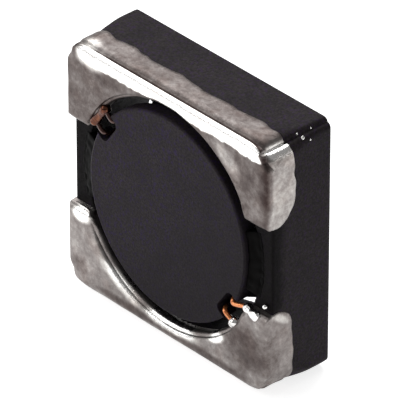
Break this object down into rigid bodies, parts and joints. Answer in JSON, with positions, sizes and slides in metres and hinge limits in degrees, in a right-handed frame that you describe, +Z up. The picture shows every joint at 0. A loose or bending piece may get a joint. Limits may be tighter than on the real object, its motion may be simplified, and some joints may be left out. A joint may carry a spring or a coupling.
{
  "type": "shielded smd inductor",
  "caption": "Shielded surface-mount inductor: a wound drum core glued into a square ferrite ring with plated terminal lands, standing on edge.",
  "frame": {"origin": "middle of the base of the overall box, with the part standing on its finish-terminal side", "axes": "-Y out of the soldering plane that both terminals share, +Y towards the plain back face, +Z up from the finish terminal to the start terminal, +X to the right as seen from in front of the terminals"},
  "size_m": [0.0058, 0.0018, 0.0058],
  "materials": {
    "ferrite": "satin",
    "drum_ferrite": "matte",
    "plating": "satin",
    "wire": "gloss",
    "solder": "gloss",
    "adhesive": "gloss"
  },
  "bodies": {
    "root": {"shield_core": "ferrite", "start_terminal": "plating", "finish_terminal": "plating", "drum_core": "drum_ferrite", "winding": "wire", "start_joint": "solder", "finish_joint_wall": "solder", "finish_joint_horn": "solder", "solder_ball": "solder", "adhesive_left": "adhesive", "adhesive_right": "adhesive", "adhesive_back_1": "adhesive", "adhesive_back_2": "adhesive", "adhesive_back_3": "adhesive", "adhesive_back_4": "adhesive"}
  },
  "joints": []
}
